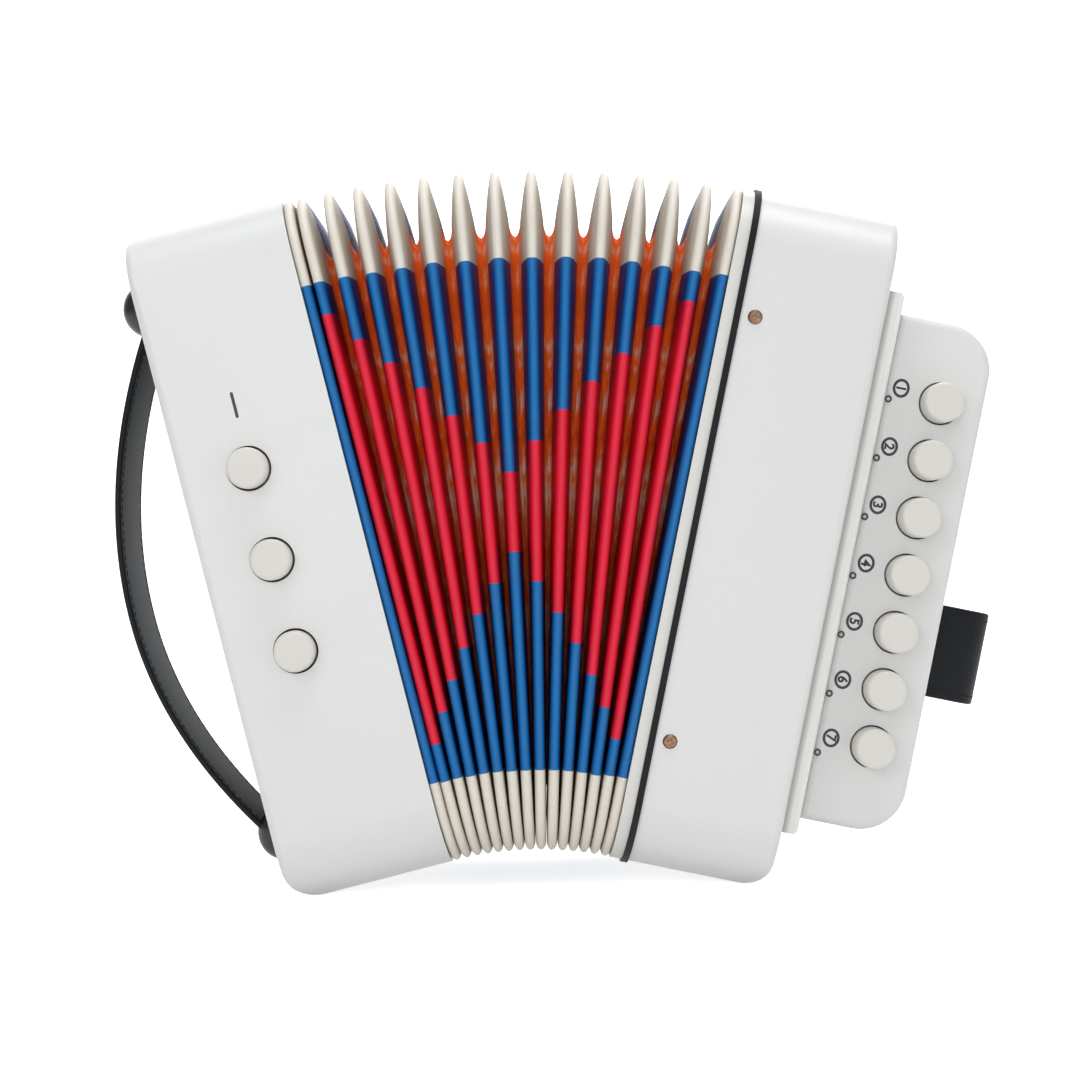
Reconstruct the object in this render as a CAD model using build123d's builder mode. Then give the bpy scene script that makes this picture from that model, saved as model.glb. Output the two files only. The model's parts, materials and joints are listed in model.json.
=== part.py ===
"""A seven-button toy accordion, standing with its bellows fanned open.

X runs from the bass side to the treble side, the front faces -Y and Z is up. The two cabinets lean
away from each other, and each is drawn in a frame of its own, in millimetres:
    v  along +Y, from the middle of the cabinet's depth
    w  up the cabinet, from the bottom edge of its bellows side
    n  square to its bellows side, towards the treble hand
The origin is the middle of the box around the instrument, on the surface that it stands on.
"""

import os
from math import asin, atan, cos, degrees, radians, sin, tan

from build123d import *

os.makedirs("parts", exist_ok=True)

# ---- Driving dimensions, in millimetres and degrees ----

# Cabinets
cabinet_height = 210.0
cabinet_depth = 100.0
corner_radius = 20.0        # of the outline that cabinets and bellows share
open_lean = 12.9            # lean of each cabinet when the bellows are fanned open
bass_width = 50.0
bass_foot_radius = 12.0     # of the edge that a cabinet stands on
treble_width = 43.0
top_edge_radius = 6.0       # of the edge above a cabinet's outer end
end_edge_radius = 2.5       # of the other edges of that end
cavity_radius = 9.5
wall = 2.5
inner_fit = 0.2             # gap around what drops into a cabinet

# Bellows
fold_count = 15
fold_pitch = 3.24           # thickness of one closed fold
fold_depth = 20.0
card_inset = 5.0            # card of a fold, measured towards the middle of the bellows
tape_width = 2.6
valley_radius = 3.0
widest_share = 0.58         # where along the bellows the folds open most
gap_droop = 0.008           # how fast the opening falls off on both sides of that place
first_gap_share = 0.1       # the first fold clings to its neighbour
frame_thickness = 3.6
gasket_thickness = 2.0
gasket_proud = 0.8
gasket_seat = 3.0

# Fingerboard
rail_width = 7.5
rail_height = 171.0
rail_bottom = 17.7
rail_proud = 2.0            # rail in front of the fingerboard
rail_lip = 1.0              # rail behind the fingerboard's cover
rail_fillet = 2.0
board_width = 31.0
board_height = 160.0
board_above = 5.0           # from the rail's lower end to the fingerboard's
board_setback = 22.0        # of its face, behind the front of the cabinet
board_depth = 42.0
board_corner = 14.5
board_fillet = 2.5
cover_thickness = 2.0
boss_radius = 3.0
boss_inset = 8.0

# Treble keys
key_count = 7
key_spacing = 18.1
key_rise = 0.6              # row of keys above the middle of the fingerboard
button_from_rail = 17.3
button_radius = 6.2
button_gap = 0.5
button_edge = 1.2
treble_reach = 9.0          # how far a button stands out of the fingerboard
treble_travel = 4.5
axle_radius = 1.25
axle_stand = 6.4            # axle above the pallet board
axle_behind = 2.0           # axle behind the face of the fingerboard
axle_fit = 0.03
hub_radius = 3.2
hub_length = 6.0
arm_thickness = 2.4
arm_depth = 3.5
arm_gap = 1.5               # between the fingerboard and the levers behind it
arm_end = 4.0               # arm beyond the middle of its button
slot_gap = 0.6
pallet_from_axle = 14.0
pallet_depth = 11.0
pallet_height = 14.0
pallet_thickness = 2.5
pallet_arm = 3.0            # height of the arm that carries the pallet, at its axle
pallet_arm_tip = 0.75       # where its tip starts inside the pallet
bracket_width = 3.0
bracket_depth = 7.0
bracket_over = 3.0
spring_length = 3.5
spring_wall = 1.1

# Pallet board and reeds
pallet_board_thickness = 5.0
board_recess = 2.0          # from the gasket to the treble pallet board
air_hole_depth = 7.0
air_hole_height = 10.0
plate_thickness = 1.6
plate_margin = 9.0          # beyond the outer reeds, along the row
plate_rim = 5.0             # beyond the reeds, across the row
reed_length = 8.0
reed_width = 1.8
reed_thickness = 0.3
reed_offset = 2.6
reed_seat = 1.8             # of each end of a reed on its plate

# Bass buttons, each a plunger with its valve disc
bass_button_count = 3
bass_button_spacing = 28.3
bass_button_n = -28.6
bass_button_drop = 1.4      # row of bass buttons below the middle of the cabinet
bass_reach = 5.5
bass_travel = 3.5
bass_button_gap = 0.65
bass_button_length = 10.5
stem_radius = 1.75
stem_fit = 0.08
stem_over = 2.0             # stem behind its guide, at rest
valve_board_setback = 12.0  # from the cabinet's front
valve_board_thickness = 3.0
valve_board_margin = 6.0
valve_hole_radius = 4.0
disc_radius = 7.0
disc_thickness = 2.5
disc_gap = 2.5              # between the air valve's disc and its guide's walls
chamber_depth = 15.0        # from the valve board to the stems' guides
guide_thickness = 2.0
reed_box_width = 28.0
reed_box_wall = 2.0
reed_window_height = 16.0
reed_window_depth = 10.0
valve_spring_radius = 3.2

# Straps
hand_strap_width = 36.0
hand_strap_thickness = 2.0
hand_strap_bulge = 31.0
hand_strap_drop = 8.0       # its widest place below the middle of the cabinet
hand_strap_upper = 93.5     # from its widest place up to its foot
hand_strap_lower = 85.0     # and down to the other foot
hand_cap_low = 20.0         # middle of the lower cap
hand_cap_high = 190.5
hand_cap_length = 18.0
hand_cap_width = 42.0
hand_cap_height = 9.0
strap_gap = 0.3             # between the strap and the caps that hold its feet
thumb_strap_height = 30.0
thumb_strap_rise = 44.0     # above the fingerboard's lower end
thumb_strap_reach = 20.6
thumb_strap_depth = 16.0
thumb_strap_inset = 3.0     # from the back of the fingerboard's cover
thumb_strap_thickness = 2.0
thumb_strap_bend = 7.0

# Screws
screw_head_radius = 2.25
screw_head_height = 0.7
screw_head_taper = 40.0
screw_shank_radius = 1.1
screw_length = 9.0
screw_fit = 0.08
cross_width = 0.6
cross_length = 2.4
cross_depth = 0.6
screw_inset = 40.0

# ---- Frames of the fan ----

fan_angle = 2 * open_lean
stack = fold_count * fold_pitch
heel_radius = stack / radians(fan_angle)    # radius of the arc that the folds' lower edges stand on
treble_seat = frame_thickness + gasket_thickness
treble_end = treble_seat + treble_width
lean_cos = cos(radians(open_lean))
lean_sin = sin(radians(open_lean))
# The narrower treble side has a smaller radius, so that both cabinets touch the surface.
treble_foot_radius = bass_foot_radius - (bass_width - treble_end) * lean_sin / (lean_sin + lean_cos - 1)
board_bottom = rail_bottom + board_above
board_front = board_setback - cabinet_depth / 2
board_back = board_front + board_depth
thumb_strap_bottom = board_bottom + thumb_strap_rise
hand_strap_middle = cabinet_height / 2 - hand_strap_drop
key_middle = board_bottom + board_height / 2 + key_rise
button_n = treble_end + rail_width + button_from_rail
board_end = treble_end + rail_width + board_width
key_heights = [key_middle + (key - (key_count - 1) / 2) * key_spacing for key in range(key_count)][::-1]
bass_middle = cabinet_height / 2 - bass_button_drop
bass_heights = [
    bass_middle + ((bass_button_count - 1) / 2 - key) * bass_button_spacing
    for key in range(bass_button_count)
]


# A leaning cabinet's rounded outer corner lies this far below the lower edge of its bellows side.
ground = (bass_width - bass_foot_radius) * lean_sin + bass_foot_radius * (1 - lean_cos)
corner_x = heel_radius * lean_sin
reach_right = (
    corner_x
    + (board_end + thumb_strap_reach) * lean_cos
    + (thumb_strap_bottom + thumb_strap_height) * lean_sin
)
reach_left = (
    corner_x
    + (bass_width + hand_strap_bulge) * lean_cos
    + hand_strap_middle * lean_sin
    + (hand_strap_upper * lean_sin) ** 2 / (4 * hand_strap_bulge * lean_cos)
)
middle_x = (reach_right - reach_left) / 2
front_reach = cabinet_depth / 2 + bass_reach
back_reach = cabinet_depth / 2 + gasket_proud
middle_y = (back_reach - front_reach) / 2


def fan_plane(place, lean):
    """Plane square to the bellows: place is counted in folds from the bass side, lean in degrees."""
    turn = radians(fan_angle * place / fold_count - open_lean)
    foot_x = heel_radius * sin(turn) - middle_x
    foot_z = heel_radius * (cos(turn) - lean_cos) + ground
    return Plane(
        origin=(foot_x, -middle_y, foot_z),
        x_dir=(0, 1, 0),
        z_dir=(cos(radians(lean)), 0, -sin(radians(lean))),
    )


bass = fan_plane(0, -open_lean)
treble = fan_plane(fold_count, open_lean)
bass_axis = Axis(bass.origin, bass.z_dir)
treble_axis = Axis(treble.origin, treble.z_dir)


def end(side, n):
    """Plane across a cabinet's width: x is v, y is w, and its normal is n."""
    return side.offset(n)


def front(side, v):
    """Plane that faces the front at depth v: x is n, y is w."""
    return Plane(origin=side.from_local_coords((v, 0, 0)), x_dir=side.z_dir, z_dir=(0, -1, 0))


def level(side, w):
    """Plane across a cabinet's height: x is n, y is v, and its normal is w."""
    return Plane(origin=side.from_local_coords((0, w, 0)), x_dir=side.z_dir, z_dir=side.y_dir)


def save(piece, name):
    """Labels a finished piece and writes it to its own file."""
    piece.part.label = name
    export_step(piece.part, f"parts/{name}.step")


def outline(inset=0.0, mode=Mode.ADD):
    """The rounded outline that cabinets, gasket and folds share, seen along n."""
    with Locations((0, cabinet_height / 2)):
        RectangleRounded(
            cabinet_depth - 2 * inset,
            cabinet_height - 2 * inset,
            max(corner_radius - inset, valley_radius),
            mode=mode,
        )


def end_profile(side, n, foot_radius):
    """Trims a cabinet to its front view, with its lower and upper outer edges rounded."""
    with BuildSketch(front(side, -cabinet_depth / 2)) as profile:
        with BuildLine():
            FilletPolyline(
                (0, 0), (n, 0), (n, cabinet_height), (0, cabinet_height),
                radius=[0, foot_radius, top_edge_radius, 0], close=True,
            )
        make_face()
    extrude(profile.sketch, amount=-cabinet_depth, mode=Mode.INTERSECT)


def block(side, v, w, n, mode=Mode.ADD):
    """A box in a cabinet's own frame, between two values each of v, w and n."""
    with BuildSketch(end(side, n[0])) as section:
        with Locations(((v[0] + v[1]) / 2, (w[0] + w[1]) / 2)):
            Rectangle(v[1] - v[0], w[1] - w[0])
    extrude(section.sketch, amount=n[1] - n[0], mode=mode)


def around(middle, size):
    """The two ends of a length that lies evenly about its middle."""
    return (middle - size / 2, middle + size / 2)


# ---- Bellows: one ring of folded card to each fold ----

gap_weights = [first_gap_share] + [
    1 - gap_droop * (gap - widest_share * fold_count) ** 2 for gap in range(2, fold_count)
]
gap_angles = [fan_angle * weight / sum(gap_weights) for weight in gap_weights]
fold_leans = [-open_lean + sum(gap_angles[:fold]) for fold in range(fold_count)]
valley_leans = (
    [-open_lean]
    + [(low + high) / 2 for low, high in zip(fold_leans, fold_leans[1:])]
    + [open_lean]
)
mouth_inset = fold_depth + card_inset

for fold in range(fold_count):
    peak = fan_plane(fold + 0.5, fold_leans[fold])
    low_valley = fan_plane(fold, valley_leans[fold])
    high_valley = fan_plane(fold + 1, valley_leans[fold + 1])
    sections = [
        (low_valley, fold_depth),
        (peak.offset(-tape_width / 2), 0),
        (peak.offset(tape_width / 2), 0),
        (high_valley, fold_depth),
    ]
    with BuildPart() as bellows_fold:
        for place, inset in sections:
            with BuildSketch(place):
                outline(inset)
        loft(ruled=True)
        for place, inset in sections:
            with BuildSketch(place):
                outline(inset + card_inset)
        loft(ruled=True, mode=Mode.SUBTRACT)
    save(bellows_fold, f"bellows_fold_{fold + 1:02d}")

# ---- Treble cabinet, with its bellows frame and gasket ----

with BuildPart() as treble_bellows_frame:
    with BuildSketch(treble):
        outline()
        outline(mouth_inset, Mode.SUBTRACT)
    extrude(amount=frame_thickness)
save(treble_bellows_frame, "treble_bellows_frame")

with BuildPart() as treble_gasket:
    with BuildSketch(end(treble, frame_thickness)):
        outline(-gasket_proud)
        outline(gasket_seat, Mode.SUBTRACT)
    extrude(amount=gasket_thickness)
save(treble_gasket, "treble_gasket")

arm_front = board_front + wall + arm_gap
arm_back = arm_front + arm_depth
arm_middle = (arm_front + arm_back) / 2
slot_depth = arm_back - arm_front + treble_travel + 2 * slot_gap
slot_v = around(arm_middle + treble_travel / 2, slot_depth)
slot_height = arm_thickness + 2 * slot_gap
pallet_board_n = (treble_seat + board_recess, treble_seat + board_recess + pallet_board_thickness)
screw_n = sum(pallet_board_n) / 2
screw_heights = (screw_inset, cabinet_height - screw_inset)
axle_n = pallet_board_n[1] + axle_stand
axle_v = board_front + axle_behind
pallet_v = axle_v - pallet_from_axle

with BuildPart() as treble_cavity:
    with BuildSketch(end(treble, treble_seat)):
        outline(wall)
    extrude(amount=treble_width - wall)
    fillet(faces().sort_by(treble_axis)[-1].edges(), cavity_radius)

with BuildPart() as treble_cabinet:
    with BuildSketch(end(treble, treble_seat)):
        outline()
    extrude(amount=treble_width)
    fillet(faces().sort_by(treble_axis)[-1].edges(), end_edge_radius)
    end_profile(treble, treble_end, treble_foot_radius)
    add(treble_cavity.part, mode=Mode.SUBTRACT)
    for height in key_heights:
        block(
            treble, slot_v, around(height, slot_height),
            (treble_end - 2 * wall, treble_end + wall), Mode.SUBTRACT,
        )
    for height in screw_heights:
        with BuildSketch(front(treble, -cabinet_depth / 2)):
            with Locations((screw_n, height)):
                Circle(screw_shank_radius + screw_fit)
        extrude(amount=-cabinet_depth, mode=Mode.SUBTRACT)
save(treble_cabinet, "treble_cabinet")

with BuildPart() as treble_pallet_board:
    with BuildSketch(end(treble, pallet_board_n[0])):
        outline(wall + inner_fit)
        with Locations(*[(pallet_v, height) for height in key_heights]):
            Rectangle(air_hole_depth, air_hole_height, mode=Mode.SUBTRACT)
    extrude(amount=pallet_board_thickness)
    for height in screw_heights:
        with BuildSketch(front(treble, -cabinet_depth / 2)):
            with Locations((screw_n, height)):
                Circle(screw_shank_radius)
        extrude(amount=-screw_length, mode=Mode.SUBTRACT)
        with BuildSketch(front(treble, cabinet_depth / 2)):
            with Locations((screw_n, height)):
                Circle(screw_shank_radius)
        extrude(amount=screw_length, mode=Mode.SUBTRACT)
save(treble_pallet_board, "treble_pallet_board")


def screw(seat):
    """A cross-head screw, with its head's seat on the plane and its shank behind it."""
    with BuildSketch(seat) as head:
        Circle(screw_head_radius)
    extrude(head.sketch, amount=screw_head_height, taper=screw_head_taper)
    with BuildSketch(seat) as shank:
        Circle(screw_shank_radius)
    extrude(shank.sketch, amount=-screw_length)
    with BuildSketch(seat.offset(screw_head_height)) as cross:
        Rectangle(cross_length, cross_width)
        Rectangle(cross_width, cross_length)
    extrude(cross.sketch, amount=-cross_depth, mode=Mode.SUBTRACT)


with BuildPart() as cabinet_screws:
    for height in screw_heights:
        for side_of_board in (-1, 1):
            point = treble.from_local_coords((side_of_board * cabinet_depth / 2, height, screw_n))
            screw(Plane(origin=point, x_dir=treble.z_dir, z_dir=(0, side_of_board, 0)))
save(cabinet_screws, "cabinet_screws")

# ---- Treble reeds, on the bellows side of the pallet board ----

plate_heights = (key_heights[-1] - plate_margin, key_heights[0] + plate_margin)
plate_n = (pallet_board_n[0] - plate_thickness, pallet_board_n[0])
reed_slots = [height + side * reed_offset for height in key_heights for side in (-1, 1)]

with BuildPart() as treble_reed_plate:
    block(treble, around(pallet_v, air_hole_depth + plate_rim), plate_heights, plate_n)
    for place in reed_slots:
        block(
            treble, around(pallet_v, reed_length - 2 * reed_seat), around(place, reed_width),
            plate_n, Mode.SUBTRACT,
        )
save(treble_reed_plate, "treble_reed_plate")

with BuildPart() as treble_reeds:
    for place in reed_slots:
        block(
            treble, around(pallet_v, reed_length), around(place, reed_width - inner_fit),
            (plate_n[0] - reed_thickness, plate_n[0]),
        )
save(treble_reeds, "treble_reeds")

# ---- Treble action: axle, brackets, springs, levers and buttons ----

axle_ends = (
    key_heights[-1] - key_spacing / 2 - bracket_width / 2,
    key_heights[0] + key_spacing / 2 + bracket_width / 2,
)
bracket_heights = [
    key_heights[-1] - key_spacing / 2,
    (key_heights[2] + key_heights[3]) / 2,
    key_heights[0] + key_spacing / 2,
]

with BuildPart() as treble_axle:
    with BuildSketch(level(treble, axle_ends[0])):
        with Locations((axle_n, axle_v)):
            Circle(axle_radius)
    extrude(amount=axle_ends[1] - axle_ends[0])
save(treble_axle, "treble_axle")

with BuildPart() as treble_axle_brackets:
    for height in bracket_heights:
        block(
            treble, around(axle_v, bracket_depth), around(height, bracket_width),
            (pallet_board_n[1], axle_n + bracket_over),
        )
    with BuildSketch(level(treble, axle_ends[0])):
        with Locations((axle_n, axle_v)):
            Circle(axle_radius + axle_fit)
    extrude(amount=axle_ends[1] - axle_ends[0], mode=Mode.SUBTRACT)
save(treble_axle_brackets, "treble_axle_brackets")

with BuildPart() as treble_springs:
    for height in key_heights:
        with BuildSketch(level(treble, height - hub_length / 2 - slot_gap - spring_length)):
            with Locations((axle_n, axle_v)):
                Circle(axle_radius + axle_fit + spring_wall)
                Circle(axle_radius + axle_fit, mode=Mode.SUBTRACT)
        extrude(amount=spring_length)
save(treble_springs, "treble_springs")

pallet_n = (pallet_board_n[1], pallet_board_n[1] + pallet_thickness)

for key, height in enumerate(key_heights, start=1):
    with BuildPart() as treble_lever:
        with BuildSketch(level(treble, height - arm_thickness / 2)):
            with BuildLine():
                Polyline(
                    (axle_n, arm_front),
                    (button_n + arm_end, arm_front),
                    (button_n + arm_end, arm_back),
                    (axle_n, arm_back),
                    close=True,
                )
            make_face()
            with BuildLine():
                Polyline(
                    (axle_n - pallet_arm / 2, axle_v),
                    (pallet_n[0] + pallet_arm_tip, pallet_v),
                    (pallet_n[0] + pallet_arm, pallet_v),
                    (axle_n + pallet_arm / 2, axle_v),
                    close=True,
                )
            make_face()
        extrude(amount=arm_thickness)
        with BuildSketch(level(treble, height - hub_length / 2)):
            with Locations((axle_n, axle_v)):
                Circle(hub_radius)
        extrude(amount=hub_length)
        block(treble, around(pallet_v, pallet_depth), around(height, pallet_height), pallet_n)
        with BuildSketch(level(treble, height - hub_length)):
            with Locations((axle_n, axle_v)):
                Circle(axle_radius + axle_fit)
        extrude(amount=2 * hub_length, mode=Mode.SUBTRACT)
    save(treble_lever, f"treble_lever_{key}")

    with BuildPart() as treble_button:
        with BuildSketch(front(treble, arm_front)):
            with Locations((button_n, height)):
                Circle(button_radius)
        extrude(amount=treble_reach + arm_front - board_front)
        fillet(faces().sort_by(Axis.Y)[0].edges(), button_edge)
    save(treble_button, f"treble_button_{key}")

# ---- Fingerboard ----

rail_n = (treble_end, treble_end + rail_width)
rail_v = (board_front - rail_proud, board_back + cover_thickness + rail_lip)

with BuildPart() as fingerboard_rail:
    block(treble, rail_v, (rail_bottom, rail_bottom + rail_height), rail_n)
    outer_face = faces().sort_by(treble_axis)[-1]
    fillet(outer_face.edges(), rail_fillet)
    for height in key_heights:
        block(
            treble, slot_v, around(height, slot_height),
            (rail_n[0] - wall, rail_n[1] + wall), Mode.SUBTRACT,
        )
save(fingerboard_rail, "fingerboard_rail")


def board_outline(inset=0.0, mode=Mode.ADD):
    """The fingerboard seen from the front, with round corners on its outer side."""
    inner = rail_n[1] + inset
    outer = board_end - inset
    low = board_bottom + inset
    high = board_bottom + board_height - inset
    radius = board_corner - inset
    with BuildLine() as edge:
        FilletPolyline(
            (inner, low), (outer, low), (outer, high), (inner, high),
            radius=[0, radius, radius, 0], close=True,
        )
    make_face(edge.edges(), mode=mode)


boss_places = [
    (n, w)
    for n in (rail_n[1] + boss_inset, board_end - boss_inset)
    for w in (board_bottom + boss_inset, board_bottom + board_height - boss_inset)
]

with BuildPart() as fingerboard:
    with BuildSketch(front(treble, board_front)):
        board_outline()
    extrude(amount=-board_depth)
    fillet(faces().sort_by(Axis.Y)[0].edges(), board_fillet)
    with BuildSketch(front(treble, board_front + wall)):
        board_outline(wall)
    extrude(amount=wall - board_depth, mode=Mode.SUBTRACT)
    with BuildSketch(front(treble, board_front + wall)):
        with Locations(*boss_places):
            Circle(boss_radius)
            Circle(screw_shank_radius, mode=Mode.SUBTRACT)
    extrude(amount=wall - board_depth)
    with BuildSketch(front(treble, board_front)):
        with Locations(*[(button_n, height) for height in key_heights]):
            Circle(button_radius + button_gap)
    extrude(amount=-wall, mode=Mode.SUBTRACT)
    for height in key_heights:
        block(
            treble, slot_v, around(height, slot_height),
            (rail_n[1] - wall, rail_n[1] + 2 * wall), Mode.SUBTRACT,
        )
save(fingerboard, "fingerboard")

with BuildPart() as fingerboard_cover:
    with BuildSketch(front(treble, board_back)):
        board_outline()
        with Locations(*boss_places):
            Circle(screw_shank_radius, mode=Mode.SUBTRACT)
    extrude(amount=-cover_thickness)
save(fingerboard_cover, "fingerboard_cover")

with BuildPart() as cover_screws:
    for n, w in boss_places:
        point = treble.from_local_coords((board_back + cover_thickness, w, n))
        screw(Plane(origin=point, x_dir=treble.z_dir, z_dir=(0, 1, 0)))
save(cover_screws, "cover_screws")

thumb_strap_v = board_back + cover_thickness - thumb_strap_inset - thumb_strap_depth / 2

with BuildPart() as thumb_strap:
    with BuildSketch(level(treble, thumb_strap_bottom)):
        with Locations((board_end + thumb_strap_reach / 2, thumb_strap_v)):
            Rectangle(thumb_strap_reach, thumb_strap_depth)
        outer_corners = vertices().sort_by(treble_axis)[2:]
        fillet(outer_corners, thumb_strap_bend)
        offset(amount=-thumb_strap_thickness, mode=Mode.SUBTRACT)
    extrude(amount=thumb_strap_height)
save(thumb_strap, "thumb_strap")

# ---- Bass cabinet and its bellows frame ----

bass_end = -bass_width
bass_hole_radius = button_radius + bass_button_gap

with BuildPart() as bass_cavity:
    with BuildSketch(bass):
        outline(wall)
    extrude(amount=bass_end + wall)
    fillet(faces().sort_by(bass_axis)[0].edges(), cavity_radius)

with BuildPart() as bass_cabinet:
    with BuildSketch(bass):
        outline()
    extrude(amount=bass_end)
    fillet(faces().sort_by(bass_axis)[0].edges(), end_edge_radius)
    end_profile(bass, bass_end, bass_foot_radius)
    add(bass_cavity.part, mode=Mode.SUBTRACT)
    with BuildSketch(front(bass, -cabinet_depth / 2)):
        with Locations(*[(bass_button_n, height) for height in bass_heights]):
            Circle(bass_hole_radius)
    extrude(amount=-wall, mode=Mode.SUBTRACT)
save(bass_cabinet, "bass_cabinet")

with BuildPart() as bass_bellows_frame:
    with BuildSketch(bass):
        outline(wall + inner_fit)
        outline(mouth_inset, Mode.SUBTRACT)
    extrude(amount=-frame_thickness)
save(bass_bellows_frame, "bass_bellows_frame")

# ---- Bass action: valve board, plungers, springs, guides and reeds ----

valve_board_front = valve_board_setback - cabinet_depth / 2
valve_board_back = valve_board_front + valve_board_thickness
guide_front = valve_board_back + chamber_depth
guide_back = guide_front + guide_thickness
air_height, *chord_heights = bass_heights

with BuildPart() as bass_valve_board:
    with BuildSketch(front(bass, valve_board_front)):
        with BuildLine():
            FilletPolyline(
                (-frame_thickness - inner_fit, valve_board_margin),
                (-frame_thickness - inner_fit, cabinet_height - valve_board_margin),
                (bass_end + wall + inner_fit, cabinet_height - valve_board_margin),
                (bass_end + wall + inner_fit, valve_board_margin),
                radius=[0, 0, cavity_radius, cavity_radius], close=True,
            )
        make_face()
        with Locations(*[(bass_button_n, height) for height in bass_heights]):
            Circle(valve_hole_radius, mode=Mode.SUBTRACT)
    extrude(amount=-valve_board_thickness)
save(bass_valve_board, "bass_valve_board")

box_n = around(bass_button_n, reed_box_width)
box_w = (
    chord_heights[-1] - bass_button_spacing / 2,
    chord_heights[0] + bass_button_spacing / 2 - reed_box_wall,
)
chamber_w = [
    (
        height - bass_button_spacing / 2 + reed_box_wall,
        height + bass_button_spacing / 2 - reed_box_wall,
    )
    for height in chord_heights
]

with BuildPart() as bass_reed_box:
    block(bass, (valve_board_back, guide_back), box_w, box_n)
    for low, high in chamber_w:
        block(
            bass, (valve_board_back, guide_front), (low, high),
            (box_n[0] + reed_box_wall, box_n[1] - reed_box_wall), Mode.SUBTRACT,
        )
    for height in chord_heights:
        block(
            bass, around((valve_board_back + guide_front) / 2, reed_window_depth),
            around(height, reed_window_height), (box_n[1] - 2 * reed_box_wall, box_n[1]), Mode.SUBTRACT,
        )
        with BuildSketch(front(bass, guide_front)):
            with Locations((bass_button_n, height)):
                Circle(stem_radius + stem_fit)
        extrude(amount=-guide_thickness, mode=Mode.SUBTRACT)
save(bass_reed_box, "bass_reed_box")

reed_plate_n = (box_n[1], box_n[1] + plate_thickness)
bass_reed_slots = [height + side * reed_offset for height in chord_heights for side in (-1, 1)]
reed_v = around((valve_board_back + guide_front) / 2, reed_length)

with BuildPart() as bass_reed_plates:
    for height in chord_heights:
        block(
            bass, around((valve_board_back + guide_front) / 2, reed_window_depth + reed_box_wall),
            around(height, reed_window_height + reed_box_wall), reed_plate_n,
        )
    for place in bass_reed_slots:
        block(
            bass, (reed_v[0] + reed_seat, reed_v[1] - reed_seat), around(place, reed_width),
            reed_plate_n, Mode.SUBTRACT,
        )
save(bass_reed_plates, "bass_reed_plates")

with BuildPart() as bass_reeds:
    for place in bass_reed_slots:
        block(
            bass, reed_v, around(place, reed_width - inner_fit),
            (reed_plate_n[1], reed_plate_n[1] + reed_thickness),
        )
save(bass_reeds, "bass_reeds")

air_guide_reach = disc_radius + disc_gap + reed_box_wall

with BuildPart() as air_valve_guide:
    block(bass, (valve_board_back, guide_back), around(air_height, 2 * air_guide_reach), box_n)
    block(
        bass, (valve_board_back, guide_front),
        around(air_height, 2 * (disc_radius + disc_gap)), box_n, Mode.SUBTRACT,
    )
    with BuildSketch(front(bass, guide_front)):
        with Locations((bass_button_n, air_height)):
            Circle(stem_radius + stem_fit)
    extrude(amount=-guide_thickness, mode=Mode.SUBTRACT)
save(air_valve_guide, "air_valve_guide")

bass_button_front = -cabinet_depth / 2 - bass_reach
bass_button_back = bass_button_front + bass_button_length
bass_names = ["air_valve"] + [f"bass_{chord}" for chord in range(1, bass_button_count)]

for name, height in zip(bass_names, bass_heights):
    with BuildPart() as bass_button:
        with BuildSketch(front(bass, bass_button_back)):
            with Locations((bass_button_n, height)):
                Circle(button_radius)
        extrude(amount=bass_button_length)
        fillet(faces().sort_by(Axis.Y)[0].edges(), button_edge)
    save(bass_button, f"{name}_button")

    with BuildPart() as plunger:
        with BuildSketch(front(bass, bass_button_back)):
            with Locations((bass_button_n, height)):
                Circle(stem_radius)
        extrude(amount=bass_button_back - guide_back - stem_over)
        with BuildSketch(front(bass, valve_board_back)):
            with Locations((bass_button_n, height)):
                Circle(disc_radius)
        extrude(amount=-disc_thickness)
    save(plunger, f"{name}_plunger")

with BuildPart() as bass_springs:
    with BuildSketch(front(bass, valve_board_back + disc_thickness)):
        for height in bass_heights:
            with Locations((bass_button_n, height)):
                Circle(valve_spring_radius)
                Circle(stem_radius + stem_fit, mode=Mode.SUBTRACT)
    extrude(amount=disc_thickness - chamber_depth)
save(bass_springs, "bass_springs")

# ---- Hand strap, between two caps on the bass cabinet's end ----


def strap_feet(inset):
    """Where a face of the strap, this far inside its outer one, meets the cabinet above and below."""
    return [
        hand_strap_middle + reach - inset / sin(atan(2 * hand_strap_bulge / reach))
        for reach in (hand_strap_upper, -hand_strap_lower)
    ]


def strap_curve(inset):
    """Such a face, seen from the front: two half parabolas that meet at the strap's widest place."""
    crown = bass_end - hand_strap_bulge + inset
    for foot in strap_feet(inset):
        Bezier((bass_end, foot), (crown, (foot + hand_strap_middle) / 2), (crown, hand_strap_middle))


with BuildPart() as hand_strap:
    with BuildSketch(front(bass, -hand_strap_width / 2)):
        with BuildLine():
            strap_curve(0)
            strap_curve(hand_strap_thickness)
            for outer, inner in zip(strap_feet(0), strap_feet(hand_strap_thickness)):
                Line((bass_end, outer), (bass_end, inner))
        make_face()
    extrude(amount=-hand_strap_width)
save(hand_strap, "hand_strap")

with BuildPart() as hand_strap_caps:
    for height in (hand_cap_low, hand_cap_high):
        with BuildSketch(front(bass, -hand_cap_width / 2)):
            with BuildLine():
                EllipticalCenterArc(
                    (bass_end, height), hand_cap_height, hand_cap_length / 2,
                    start_angle=90, arc_size=180,
                )
                Line((bass_end, height - hand_cap_length / 2), (bass_end, height + hand_cap_length / 2))
            make_face()
        extrude(amount=-hand_cap_width)
    with BuildSketch(front(bass, -hand_strap_width / 2 - strap_gap)):
        with BuildLine():
            strap_curve(-strap_gap)
            upper_foot, lower_foot = strap_feet(-strap_gap)
            Line((bass_end, upper_foot), (bass_end, lower_foot))
        make_face()
    extrude(amount=-hand_strap_width - 2 * strap_gap, mode=Mode.SUBTRACT)
save(hand_strap_caps, "hand_strap_caps")

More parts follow.
